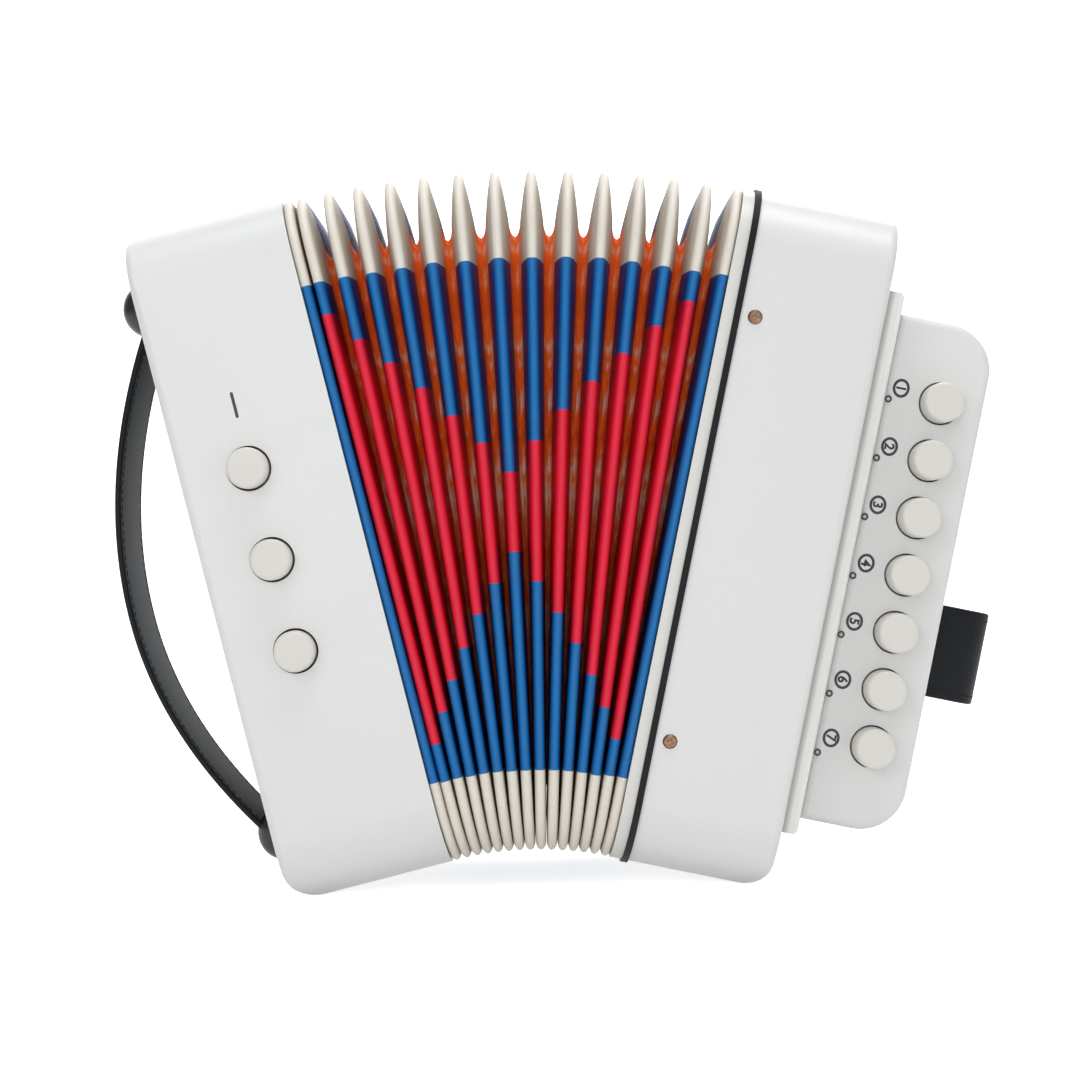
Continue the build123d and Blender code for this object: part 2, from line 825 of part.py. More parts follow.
# ---- Joints: where each turns or slides, in metres and degrees ----


def closing_turn(place, lean):
    """Where a fold turns as the bellows close, and how far: it ends parallel to the treble cabinet."""
    turn = radians(open_lean - lean)
    rest = fan_plane(place, lean).origin
    closed = treble.from_local_coords((0, 0, (place - fold_count) * fold_pitch))
    shift = closed - rest
    pivot = (rest + closed) / 2 + Vector(shift.Z, 0, -shift.X) / (2 * tan(turn / 2))
    return pivot, degrees(turn)


turns = {"bellows_fan": closing_turn(0, -open_lean)}
for fold in range(1, fold_count - 1):
    turns[f"fold_{fold + 1:02d}_turn"] = closing_turn(fold + 0.5, fold_leans[fold])
for joint, (pivot, turn) in turns.items():
    print(f"{joint}: at {pivot / 1000}, {turn:.3f} degrees about +Y")

key_turn = degrees(asin(treble_travel / (button_n - axle_n)))
key_axles = [treble.from_local_coords((axle_v, height, axle_n)) for height in key_heights]
for key, point in enumerate(key_axles, start=1):
    print(f"treble_key_{key}_press: at {point / 1000}, {key_turn:.3f} degrees about {treble.y_dir}")
print(f"bass buttons: {bass_travel / 1000} m along +Y")
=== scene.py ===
# %% [markdown]
# # A toy button accordion
# Two white boxes hold fifteen folds of card between them. This lesson dresses the solid model of the
# toy: it keeps every solid that already has the right shape and gives it a finish, and it builds
# the parts that need more than a solid can show, such as taped folds, straps with stitches and
# printed marks.

import json
from collections import namedtuple
from math import cos, degrees, pi, radians, sin, sqrt

import bmesh
import bpy
from mathutils import Matrix, Vector, noise


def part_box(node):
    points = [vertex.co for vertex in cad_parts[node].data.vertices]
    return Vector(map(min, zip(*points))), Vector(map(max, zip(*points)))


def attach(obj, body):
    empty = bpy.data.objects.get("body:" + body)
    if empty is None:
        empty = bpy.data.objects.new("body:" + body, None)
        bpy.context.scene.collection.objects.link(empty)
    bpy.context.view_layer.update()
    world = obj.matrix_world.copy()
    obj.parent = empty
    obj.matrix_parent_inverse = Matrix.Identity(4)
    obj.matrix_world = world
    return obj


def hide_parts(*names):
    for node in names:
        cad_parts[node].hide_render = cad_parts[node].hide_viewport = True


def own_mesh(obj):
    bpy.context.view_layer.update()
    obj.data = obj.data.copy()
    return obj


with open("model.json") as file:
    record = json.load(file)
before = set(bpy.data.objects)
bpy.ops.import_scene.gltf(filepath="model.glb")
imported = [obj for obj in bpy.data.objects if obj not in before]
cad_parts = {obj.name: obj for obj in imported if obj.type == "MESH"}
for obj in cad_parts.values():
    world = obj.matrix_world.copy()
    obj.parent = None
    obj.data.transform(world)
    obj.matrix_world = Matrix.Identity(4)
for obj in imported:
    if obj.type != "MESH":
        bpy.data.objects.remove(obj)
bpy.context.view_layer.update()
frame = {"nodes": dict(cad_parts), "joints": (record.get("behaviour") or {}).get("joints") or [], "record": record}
solids = frame["nodes"]
mm = 0.001

# %% [markdown]
# ## Where things are
# The two boxes lean away from each other, so most sizes are easier to say in a box's own directions:
# v goes from the front to the back, w goes up along the box, and n goes out along the bellows towards
# the right hand. A `Side` holds those directions and the corner that they start from.

# %% Frames of the two boxes
Side = namedtuple("Side", "origin out up")
back = Vector((0, 1, 0))


def leaning(origin, lean):
    """A frame that leans to the right by an angle."""
    return Side(origin, Vector((cos(lean), 0, -sin(lean))), Vector((sin(lean), 0, cos(lean))))


def at(side, v, w, n):
    """The point at v, w and n of a frame."""
    return side.origin + back * v + side.up * w + side.out * n


def spans(node, side):
    """Lowest and highest v, w and n of a solid in a frame."""
    places = [vertex.co - side.origin for vertex in solids[node].data.vertices]
    return [
        (min(p.dot(axis) for p in places), max(p.dot(axis) for p in places))
        for axis in (back, side.up, side.out)
    ]


joints = {joint["name"]: joint for joint in frame["joints"]}
fan = radians(joints["bellows_fan"]["range_deg"][1])
lean = fan / 2
middle_y = sum(corner.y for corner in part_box("bass_cabinet")) / 2


def corner_frame(node, lean, end):
    """The frame that starts at the lower corner of a solid, at its lowest or highest n."""
    loose = leaning(Vector((0, middle_y, 0)), lean)
    _, w, n = spans(node, loose)
    return leaning(at(loose, 0, w[0], n[end]), lean)


bass = corner_frame("bass_cabinet", -lean, 1)
treble = corner_frame("treble_bellows_frame", lean, 0)
(_, half_depth), (_, height), _ = spans("bass_cabinet", bass)
print(f"lean {degrees(lean):.1f} degrees, boxes {height / mm:.0f} mm high, {2 * half_depth / mm:.0f} deep")

# %% [markdown]
# ## The camera
# The camera comes before everything else, because it decides which details matter. It stands straight
# in front of the middle of the toy and is tipped a little to one side.

# %% Camera
camera_tip = 0.0273
camera_place = Vector((-0.0057, -0.6976, 0.1071))


def new_object(name, data):
    """An object in the scene for a camera, a lamp or a mesh."""
    made = bpy.data.objects.new(name, data)
    bpy.context.scene.collection.objects.link(made)
    return made


camera_data = bpy.data.cameras.new("camera")
camera_data.lens = 72.15
camera_data.sensor_width = 36.0
camera_data.clip_end = 20.0
camera = new_object("camera", camera_data)
camera.matrix_world = (
    Matrix.Translation(camera_place) @ Matrix.Rotation(camera_tip, 4, "Y") @ Matrix.Rotation(pi / 2, 4, "X")
)
bpy.context.scene.camera = camera
bpy.context.scene.view_settings.view_transform = "Standard"
print("camera at", tuple(round(value, 4) for value in camera_place))

# %% [markdown]
# ## Studio
# A pale floor that turns up into a backdrop has no horizon. Camera rays see extra light from it, so that
# it reads as white paper, while the light that it throws on the toy stays at its plain level, and the
# toy's own shadow stays visible.

# %% Node helpers
def fill(node, **inputs):
    """Sets or links inputs of a node, found by their name or, as i0, by their number."""
    for key, value in inputs.items():
        numbered = key[0] == "i" and key[1:].isdigit()
        socket = node.inputs[int(key[1:]) if numbered else key.replace("_", " ")]
        if isinstance(value, bpy.types.NodeSocket):
            node.id_data.links.new(value, socket)
        else:
            socket.default_value = value
    return node


class Tree:
    """A node tree with short ways to add nodes; all but add return what the new node puts out."""

    def __init__(self, tree):
        self.tree = tree

    def add(self, kind, settings=None, **inputs):
        node = self.tree.nodes.new(kind)
        for key, value in (settings or {}).items():
            setattr(node, key, value)
        return fill(node, **inputs)

    def math(self, operation, *values):
        numbered = {f"i{i}": value for i, value in enumerate(values)}
        return self.add("ShaderNodeMath", {"operation": operation}, **numbered).outputs[0]

    def place(self):
        return self.add("ShaderNodeTexCoord").outputs["Object"]

    def ring_map(self):
        return self.add("ShaderNodeUVMap", {"uv_map": "ring_map"}).outputs[0]

    def stretch(self, place, scale):
        return self.add("ShaderNodeMapping", Vector=place, Scale=scale).outputs[0]

    def noise(self, place, scale, detail, **more):
        node = self.add("ShaderNodeTexNoise", Vector=place, Scale=scale, Detail=detail, **more)
        return node.outputs["Fac"]

    def remap(self, value, low, high, new_low=0.0, new_high=1.0):
        node = self.add("ShaderNodeMapRange", Value=value, i1=low, i2=high, i3=new_low, i4=new_high)
        return node.outputs[0]

    def blend(self, share, low, high):
        return self.add("ShaderNodeMix", {"data_type": "RGBA"}, i0=share, i6=low, i7=high).outputs[2]

    def average(self, share, low, high):
        return self.add("ShaderNodeMix", {"data_type": "FLOAT"}, i0=share, i2=low, i3=high).outputs[0]

    def ramp(self, share, stops):
        node = self.add("ShaderNodeValToRGB", Fac=share)
        elements = node.color_ramp.elements
        for i, (position, tone) in enumerate(stops):
            element = elements[i] if i < 2 else elements.new(position)
            element.position = position
            element.color = tone
        return node.outputs[0]

    def bump(self, strength, distance, height, **more):
        node = self.add("ShaderNodeBump", Strength=strength, Distance=distance, Height=height, **more)
        return node.outputs[0]


class Finish(Tree):
    """The tree of a new material; done fills in its shader and returns the material."""

    def __init__(self, name):
        self.material = bpy.data.materials.new(name)
        self.material.use_nodes = True
        super().__init__(self.material.node_tree)
        self.shader = self.tree.nodes["Principled BSDF"]

    def done(self, **inputs):
        fill(self.shader, **inputs)
        return self.material


def colour(red, green, blue):
    """A colour from its values on a screen, from 0 to 255."""
    def linear(value):
        share = value / 255
        return share / 12.92 if share <= 0.04045 else ((share + 0.055) / 1.055) ** 2.4

    return (linear(red), linear(green), linear(blue), 1.0)


# %% Floor and backdrop
paper = Finish("studio_paper")
rays = paper.add("ShaderNodeLightPath").outputs
seen = paper.math("MAXIMUM", rays["Is Camera Ray"], rays["Is Glossy Ray"])
seen_through = paper.math("MAXIMUM", seen, rays["Is Transmission Ray"])
glow = paper.add("ShaderNodeEmission", Strength=0.78)
clear = paper.add("ShaderNodeEmission", Strength=0.0)
chosen = paper.add("ShaderNodeMixShader", i0=seen_through, i1=clear.outputs[0], i2=glow.outputs[0])
total = paper.add("ShaderNodeAddShader", i0=paper.shader.outputs[0], i1=chosen.outputs[0])
fill(paper.tree.nodes["Material Output"], Surface=total.outputs[0])

floor_half_width = 3.0
floor_front = -2.4
backdrop_start = 0.9
backdrop_radius = 0.6
backdrop_top = 3.0
backdrop_bends = 16
floor_profile = [(floor_front, 0.0), (backdrop_start, 0.0)]
for step in range(1, backdrop_bends + 1):
    angle = step / backdrop_bends * pi / 2
    floor_profile.append(
        (backdrop_start + backdrop_radius * sin(angle), backdrop_radius * (1 - cos(angle)))
    )
floor_profile.append((backdrop_start + backdrop_radius, backdrop_top))
floor_mesh = bpy.data.meshes.new("studio_floor")
floor_mesh.from_pydata(
    [(side * floor_half_width, y, z) for y, z in floor_profile for side in (-1, 1)],
    [],
    [(2 * i, 2 * i + 1, 2 * i + 3, 2 * i + 2) for i in range(len(floor_profile) - 1)],
)
floor_mesh.materials.append(paper.done(Base_Color=(0.86, 0.86, 0.86, 1), Roughness=0.9))
floor_mesh.shade_smooth()
floor = new_object("studio_floor", floor_mesh)

world = bpy.data.worlds.new("studio")
bpy.context.scene.world = world
world.use_nodes = True
world_tree = Tree(world.node_tree)
sky = fill(world.node_tree.nodes["Background"], Color=(0.95, 0.97, 1.0, 1), Strength=0.37)
white_sky = world_tree.add("ShaderNodeBackground", Color=(1, 1, 1, 1))
rays = world_tree.add("ShaderNodeLightPath").outputs
world_mix = world_tree.add(
    "ShaderNodeMixShader", i0=rays["Is Camera Ray"], i1=sky.outputs[0], i2=white_sky.outputs[0],
)
fill(world.node_tree.nodes["World Output"], Surface=world_mix.outputs[0])
print("floor and backdrop with", len(floor_profile), "lines of points")


# %% Lamps
def lamp(name, place, target, size, power, tint=(1, 1, 1)):
    """A soft square lamp that faces a point."""
    data = bpy.data.lights.new(name, "AREA")
    data.size = size
    data.energy = power
    data.color = tint
    aim = (Vector(target) - Vector(place)).to_track_quat("-Z", "Y")
    new_object(name, data).matrix_world = Matrix.Translation(place) @ aim.to_matrix().to_4x4()


toy_middle = (0, 0, 0.11)
lamp("key_lamp", (-1.0, -1.6, 1.0), toy_middle, 1.0, 6.5)
lamp("front_lamp", (-0.18, -2.0, 0.4), toy_middle, 0.9, 6.8)
lamp("fill_lamp", (1.5, -1.0, 0.6), toy_middle, 1.1, 3.5, (1.0, 0.98, 0.96))
lamp("top_lamp", (0.1, -0.2, 1.5), toy_middle, 1.0, 12.5)
lamp("back_lamp", (0.3, 1.3, 1.1), toy_middle, 0.9, 5)
print("five lamps")

# %% [markdown]
# ## Finishes
# Moulded plastic is never one flat colour. It has a faint orange-peel ripple, a slightly uneven gloss from
# handling, and a little change of tone. Three noises at three scales do this. They read Object
# coordinates, because a solid from the CAD model has no map of its own. The rail beside the fingerboard
# has a tone painted lighter than the board's to make up for the box's shade on it, and a painted shade
# along its box.

# %% Moulded plastics
def plastic(name, tone, roughness, ripple=0.015, uneven=0.012, shine=0.5, shade_band=None):
    """Moulded plastic with a soft ripple and uneven gloss.

    The painted shade is given as a frame, the two places along its n that it fades between, and a tone.
    """
    look = Finish(name)
    place = look.place()
    uneven_tone = tuple(value * (1 - uneven) for value in tone[:3]) + (1.0,)
    shade = look.blend(look.noise(place, 28.0, 3.0), tone, uneven_tone)
    # Painted shade: dark at the first place along n, next to the box, and gone by the second.
    if shade_band:
        side, shaded_n, lit_n, shade_tone = shade_band
        away = look.add("ShaderNodeVectorMath", {"operation": "SUBTRACT"}, i0=place, i1=side.origin)
        n = look.add("ShaderNodeVectorMath", {"operation": "DOT_PRODUCT"}, i0=away.outputs[0], i1=side.out)
        shade = look.blend(look.remap(n.outputs["Value"], shaded_n, lit_n), shade_tone, shade)
    grease = look.noise(place, 70.0, 5.0, Roughness=0.65)
    gloss = look.remap(grease, 0.3, 0.7, roughness * 0.94, roughness * 1.08)
    peel = look.bump(ripple, 0.0004, look.noise(place, 450.0, 2.0))
    return look.done(Base_Color=shade, Roughness=gloss, Normal=peel, Specular_IOR_Level=shine)


white_plastic = plastic("white_plastic", colour(220, 221, 219), 0.3)
frame_plastic = plastic("frame_plastic", colour(216, 215, 210), 0.34)
rail_start = spans("fingerboard_rail", treble)[2][0]
# The rail's tone is painted lighter than the board's to make up for the box's shade on it, and a painted shade
# line darkens it right beside the box.
rail_plastic = plastic(
    "rail_plastic", colour(244, 244, 240), 0.3,
    shade_band=(treble, rail_start + 2.8 * mm, rail_start + 4.6 * mm, colour(180, 180, 176)),
)
board_plastic = plastic("board_plastic", colour(220, 221, 219), 0.42)
button_plastic = plastic("button_plastic", colour(216, 213, 206), 0.36)
inner_plastic = plastic("inner_plastic", colour(205, 205, 200), 0.5)
black_plastic = plastic("black_plastic", colour(18, 21, 24), 0.28, uneven=0.2)
gasket_rubber = plastic("gasket_rubber", colour(10, 11, 13), 0.55, ripple=0.1, uneven=0.3, shine=0.25)
print("eight moulded finishes")

# %% [markdown]
# Metal and wood come next. Turned brass has fine rings of tooling and a darker tone where fingers
# and air have dulled it. Rolled sheet and drawn wire have long streaks. Plywood has a pale face with
# grain that is stretched along one direction.

# %% Metals and wood
def metal(name, tone, dull, roughness, streak):
    """Metal with tooling streaks along one direction and a patchy dull film."""
    look = Finish(name)
    place = look.place()
    streaks = look.noise(look.stretch(place, streak), 1.0, 4.0)
    shade = look.blend(look.noise(place, 900.0, 3.0), tone, dull)
    gloss = look.remap(streaks, 0.25, 0.75, roughness * 0.7, roughness * 1.4)
    tooling = look.bump(0.12, 0.0001, streaks)
    return look.done(Base_Color=shade, Roughness=gloss, Normal=tooling, Metallic=1.0)


screw_brass = metal("screw_brass", colour(158, 128, 108), colour(112, 82, 66), 0.42, (900, 900, 900))
reed_brass = metal("reed_brass", colour(214, 184, 120), colour(176, 140, 84), 0.3, (150, 3000, 150))
lever_metal = metal("lever_metal", colour(206, 208, 210), colour(176, 178, 182), 0.34, (60, 2600, 2600))
spring_steel = metal("spring_steel", colour(190, 190, 192), colour(140, 140, 144), 0.3, (2500, 2500, 300))

look = Finish("plywood")
place = look.place()
grain = look.noise(look.stretch(place, (420, 420, 26)), 1.0, 6.0, Distortion=0.6)
figured = look.average(0.35, grain, look.noise(place, 45.0, 2.0))
shade = look.ramp(figured, [(0.3, colour(158, 118, 78)), (0.7, colour(214, 182, 138))])
plywood = look.done(Base_Color=shade, Roughness=0.62, Normal=look.bump(0.2, 0.0002, grain))
print("four metals and plywood")

# %% [markdown]
# ## Solids that keep their shape
# Most solids are already right. They get the finish of their kind, found from their names, and nothing
# about them moves.

# %% Dress the solids
finish_of_kind = [
    ("reed_plate", reed_brass), ("reeds", reed_brass), ("screws", screw_brass), ("lever", lever_metal),
    ("plunger", lever_metal), ("springs", spring_steel), ("brackets", inner_plastic),
    ("guide", inner_plastic), ("reed_box", inner_plastic), ("axle", spring_steel), ("_board", plywood),
    ("gasket", gasket_rubber), ("button", button_plastic), ("bellows_frame", frame_plastic),
    ("rail", rail_plastic), ("fingerboard", board_plastic), ("cabinet", white_plastic),
]
dressed_count = 0
for name, solid in solids.items():
    for kind, finish in finish_of_kind:
        if kind in name:
            solid.data.materials.clear()
            solid.data.materials.append(finish)
            dressed_count += 1
            break
print("finishes given to", dressed_count, "solids")

# %% [markdown]
# ## Bellows
# A fold is a ring of card, bent to a V, whose peak is wrapped in cloth tape. All rings share one
# outline, a rectangle with round corners. A point of the outline is found from two things: a
# station along the ring, and an inset, which is how far the point lies in from the peak towards
# the valley. With that rule, one short function describes every fold.

# %% Outline of a fold
corner_radius = 20 * mm
valley_radius = 3 * mm
peak_half = 1.42 * mm
half_w = height / 2
side_spaces = 18                # even spaces along a straight side of the ring
top_spaces = 8
corner_spaces = 10
corner_nudge = 1e-6             # keeps a corner's first station on its own side of the corner
Station = namedtuple("Station", "side place along zone")


def ring_point(station, inset):
    """v and w of a station of the ring, at an inset from its peak."""
    radius = max(corner_radius - inset, valley_radius)
    middle = inset + radius
    shrink_v = (half_depth - middle) / (half_depth - corner_radius)
    shrink_w = (half_w - middle) / (half_w - corner_radius)
    if station.side == "front":
        return inset - half_depth, half_w + station.place * shrink_w
    if station.side == "back":
        return half_depth - inset, half_w + station.place * shrink_w
    if station.side == "top":
        return station.place * shrink_v, height - inset
    if station.side == "bottom":
        return station.place * shrink_v, inset
    turn = station.place
    v_sign = 1 if cos(turn) > 0 else -1
    w_sign = 1 if sin(turn) > 0 else -1
    v = v_sign * (half_depth - middle) + radius * cos(turn)
    w = half_w + w_sign * (half_w - middle) + radius * sin(turn)
    return v, w


# %% [markdown]
# The tape is white at the corners. On the front and back it is blue and red, and the heights where the
# colours meet step from fold to fold, so that the whole bellows shows a pattern of steps. The rule for a
# fold is short: the red part is shortest on the middle fold and grows by the same amount on each
# fold on both sides. The first and last folds have no red.

# %% Colours of the tape
fold_count = sum(name.startswith("bellows_fold") for name in solids)
white_above = 180.6 * mm
white_below = 26.4 * mm
white_on_top = 24 * mm          # from the middle of the top to its white corner tape
middle_fold = (fold_count + 1) // 2
red_top = 116.7 * mm
red_bottom = 92.1 * mm
red_step = 9.05 * mm
hand_error = 0.6 * mm           # tape is cut and laid by hand
noise_step = 3.7                # from one fold to the next in the noise that the error comes from
noise_level = 0.5


def tape_marks(fold):
    """Heights where the tape of a fold changes colour, from the lowest, and the colours between them."""
    def slip(place):
        return hand_error * noise.noise(Vector((fold * noise_step, place, noise_level)))

    low = white_below + slip(1)
    high = white_above + slip(2)
    if fold in (1, fold_count):
        return [low, high], ["white", "blue", "white"]
    steps = abs(fold - middle_fold)
    red_low = red_bottom - steps * red_step + slip(3)
    red_high = red_top + steps * red_step + slip(4)
    return [low, red_low, red_high, high], ["white", "blue", "red", "blue", "white"]


def even_places(half, spaces):
    """Evenly spaced places from one end of a straight side to the other, counted from its middle."""
    return {round(-half + i * half / (spaces / 2), 7) for i in range(spaces + 1)}


def ring_stations(fold):
    """Stations around a fold, each with its distance along the ring and the colour that follows it."""
    marks, colours = tape_marks(fold)
    straight = half_w - corner_radius
    side_places = sorted(even_places(straight, side_spaces) | {mark - half_w for mark in marks})
    flat = half_depth - corner_radius
    top_places = sorted(even_places(flat, top_spaces) | {-white_on_top, white_on_top})

    def side_zone(w):
        return colours[sum(w > mark for mark in marks)]

    def top_zone(v):
        return "blue" if abs(v) < white_on_top else "white"

    stations = []
    along = 0.0

    def straight_run(side, places, zone_of):
        nonlocal along
        for here, there in zip(places, places[1:]):
            stations.append(Station(side, here, along, zone_of((here + there) / 2)))
            along += abs(there - here)

    def round_run(start):
        nonlocal along
        for i in range(corner_spaces):
            turn = start - i * pi / 2 / corner_spaces
            stations.append(Station("corner", turn - corner_nudge, along, "white"))
            along += corner_radius * pi / 2 / corner_spaces

    straight_run("front", side_places, lambda place: side_zone(place + half_w))
    round_run(pi)
    straight_run("top", top_places, top_zone)
    round_run(pi / 2)
    straight_run("back", side_places[::-1], lambda place: side_zone(place + half_w))
    round_run(2 * pi)
    straight_run("bottom", top_places[::-1], top_zone)
    round_run(3 * pi / 2)
    return stations, along


print(fold_count, "folds with", len(ring_stations(2)[0]), "stations each")

# %% [markdown]
# Each fold stands on an arc, like the stick of a hand fan, and has its own lean. The joints of the model
# say how far each fold turns, so its lean comes from there. The valley between two folds lies halfway
# between their leans.

# %% Place of each fold
chord = (treble.origin - bass.origin).length
heel_radius = chord / (2 * sin(lean))


def fan_frame(place, angle):
    """The frame at a place along the bellows, counted in folds, that leans by an angle."""
    turn = fan * place / fold_count - lean
    foot = Vector((heel_radius * (sin(turn) + sin(lean)), 0, heel_radius * (cos(turn) - cos(lean))))
    return leaning(bass.origin + foot, angle)


couplings = frame["record"]["behaviour"]["couplings"]
share_of_fan = {coupling["joint"]: coupling["ratio"] for coupling in couplings}
fold_leans = [
    lean - fan * share_of_fan.get(f"fold_{fold:02d}_turn", 1.0 if fold == 1 else 0.0)
    for fold in range(1, fold_count + 1)
]
valley_leans = [-lean] + [(a + b) / 2 for a, b in zip(fold_leans, fold_leans[1:])] + [lean]
peaks = [fan_frame(fold + 0.5, angle) for fold, angle in enumerate(fold_leans)]
valleys = [fan_frame(fold, angle) for fold, angle in enumerate(valley_leans)]
print("folds lean from", round(degrees(fold_leans[0]), 1), "to", round(degrees(fold_leans[-1]), 1))


# %% [markdown]
# ### Tape and card
# Cloth tape has a weave that is too fine to model, so two crossed waves in a bump show it, and painted
# shade darkens the tape where it goes into the fold. The card behind it is covered with glossy orange
# paper, which creases in long streaks; pale streaks and patches on it are painted reflections, and painted
# shade darkens it low down, where the folds stay close. Both patterns follow the ring, so each fold
# carries a map: one direction runs around the ring and the other across the fold, both in metres.

# %% Tape and card finishes
peak_mark = 30 * mm             # where the map of a fold has its peak
# Painted shade darkens the tape between these two distances from its peak.
tape_bright = 0.6 * mm          # from the peak to where the tape starts to darken
tape_dark = 2.8 * mm            # and to where it is darkest
# Painted shade on the card fades out between these two heights.
card_dark_below = 30 * mm       # height where the card is darkest
card_bright_above = 125 * mm


def cloth_tape(name, tone, shadow, shaded_tone):
    """Woven tape, a little uneven along its length, with painted shade where it goes into the fold."""
    look = Finish(name)
    place = look.ring_map()
    wear = look.noise(look.stretch(place, (60, 900, 1)), 1.0, 4.0)
    across = look.add("ShaderNodeSeparateXYZ", Vector=place).outputs["Y"]
    inward = look.math("ABSOLUTE", look.math("SUBTRACT", across, peak_mark))
    # Painted shade on the bead's sides and on the walls, away from the peak.
    depth = look.remap(inward, tape_bright, tape_dark)
    shade = look.blend(depth, look.blend(wear, shadow, tone), shaded_tone)
    weave_space = look.stretch(place, (2600, 2600, 1))
    warp, weft = [
        look.add("ShaderNodeTexWave", {"bands_direction": direction}, Vector=weave_space, Scale=0.5)
        for direction in "XY"
    ]
    weave = look.bump(0.18, 0.00008, look.math("MULTIPLY", warp.outputs["Fac"], weft.outputs["Fac"]))
    sag = look.bump(0.25, 0.0003, wear, Normal=weave)
    return look.done(Base_Color=shade, Normal=sag, Roughness=0.44, Specular_IOR_Level=0.32)


# The last colour of each tape is its painted shade.
tapes = {
    "white": cloth_tape("white_tape", colour(231, 226, 215), colour(221, 213, 201), colour(206, 197, 184)),
    "blue": cloth_tape("blue_tape", colour(14, 113, 180), colour(12, 96, 160), colour(8, 50, 118)),
    "red": cloth_tape("red_tape", colour(232, 34, 64), colour(208, 22, 50), colour(204, 9, 38)),
}

look = Finish("orange_card")
place = look.ring_map()
streaks = look.noise(look.stretch(place, (90, 900, 1)), 1.0, 5.0, Roughness=0.6, Distortion=0.8)
patches = look.noise(look.stretch(place, (105, 110, 1)), 1.0, 2.0)
# The pale stops of the ramp are painted reflections on the glossy paper.
rubbed = look.ramp(look.average(0.68, streaks, patches), [
    (0.34, colour(228, 108, 50)), (0.46, colour(255, 126, 44)), (0.52, colour(254, 144, 76)),
    (0.575, colour(250, 206, 182)), (0.64, colour(250, 240, 238)),
])
# Painted shade: the card is darker towards the bottom, where the folds stay close.
card_height = look.add("ShaderNodeSeparateXYZ", Vector=look.place()).outputs["Z"]
unshaded_share = look.remap(card_height, card_dark_below, card_bright_above)
card = look.done(
    Base_Color=look.blend(unshaded_share, colour(140, 52, 44), rubbed),
    Normal=look.bump(0.3, 0.0006, streaks), Roughness=0.34, Specular_IOR_Level=0.35,
)
print("three tapes and a card")


# %% [markdown]
# A fold is made of two pieces. The peak is a bead of tape that keeps its round shape always. The walls
# behind it are thin card, which lies flat when the bellows are closed. Both are swept in code along the
# stations: a profile gives the inset and the sideways place of each point, and the sweep joins profile
# after profile into a closed ring.

# %% Rings of points
def tube(mesh, rings, closed):
    """Joins rings of points into a tube, with filled ends if it is open, and returns its sides in order."""
    count = len(rings[0])
    sides = []
    for i in range(len(rings) if closed else len(rings) - 1):
        here, there = rings[i], rings[(i + 1) % len(rings)]
        for j in range(count):
            k = (j + 1) % count
            sides.append(mesh.faces.new((here[j], here[k], there[k], there[j])))
    if not closed:
        mesh.faces.new(rings[0])
        mesh.faces.new(rings[-1][::-1])
    return sides


def piece_of(name, mesh, materials, sharp):
    """An object from a closed mesh, smooth but for the edges that bend by more than some degrees."""
    bmesh.ops.recalc_face_normals(mesh, faces=mesh.faces)
    data = bpy.data.meshes.new(name)
    mesh.to_mesh(data)
    mesh.free()
    for material in materials:
        data.materials.append(material)
    data.shade_smooth()
    data.set_sharp_from_angle(angle=radians(sharp))
    return new_object(name, data)


# %% Sweep a profile around a fold
# The first and last folds are fixed to the boxes.
body_of_fold = {1: "bass_body", fold_count: "treble_body"}
closing_map = 1 * mm            # width on the map of the face that closes a profile


def sweep(kind, fold, profile_of, face_finish, materials):
    """A closed ring of a fold: profile_of gives the points and their distance across at a station."""
    mesh = bmesh.new()
    map_layer = mesh.loops.layers.uv.new("ring_map")
    stations, length = ring_stations(fold)
    profiles = [profile_of(station) for station in stations]
    across = profiles[0][1]
    sides = tube(mesh, [[mesh.verts.new(point) for point in points] for points, _ in profiles], True)
    ends = [station.along for station in stations[1:]] + [length]
    for i, (station, end) in enumerate(zip(stations, ends)):
        for j, low in enumerate(across):
            face = sides[i * len(across) + j]
            face.material_index = face_finish(station, j)
            high = across[j + 1] if j + 1 < len(across) else low + closing_map
            corners = ((station.along, low), (station.along, high), (end, high), (end, low))
            for loop, place in zip(face.loops, corners):
                loop[map_layer].uv = place
    piece = piece_of(f"bellows_{kind}_{fold:02d}", mesh, materials, sharp=40)
    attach(piece, body_of_fold.get(fold, f"fold_{fold:02d}"))
    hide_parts(f"bellows_fold_{fold:02d}")
    return piece


# %% Beads of tape
bead_half = 1.61 * mm
bead_nose = 2.7 * mm            # from the peak to where the bead is widest
bead_back = 3.7 * mm
bead_back_share = 0.8           # of its half width, at the back
bead_spaces = 5                 # from the peak to its widest place
bead_map = 0.4 * mm             # between two points of a bead on the map
finish_order = ["white", "blue", "red", "card"]
finishes = [tapes["white"], tapes["blue"], tapes["red"], card]


def bead_profile(peak):
    """Profile of a bead: half an oval in front and a flat back, which the walls hide."""
    turns = [(-1 + i / bead_spaces) * pi / 2 for i in range(2 * bead_spaces + 1)]
    shape = [(bead_half * sin(turn), bead_nose * (1 - cos(turn))) for turn in turns]
    shape += [(sign * bead_back_share * bead_half, bead_back) for sign in (1, -1)]
    across = [peak_mark + (i - bead_spaces) * bead_map for i in range(len(shape))]

    def profile(station):
        return [at(peak, *ring_point(station, inset), sideways) for sideways, inset in shape], across

    return profile


for fold, peak in enumerate(peaks, start=1):
    bead = sweep(
        "tape", fold, bead_profile(peak), lambda station, j: finish_order.index(station.zone), finishes[:3],
    )
print(fold_count, "beads of", len(bead.data.polygons), "faces each")

# %% Walls of card
wall_thickness = 0.7 * mm
valley_gap = 0.02 * mm
tape_step = 0.12 * mm           # the tape is this much prouder than the card
tape_step_start = 4 * mm        # the bead hides the step before this inset
tape_end = 16.03 * mm           # falls between two insets of the table, which make the tape's edge
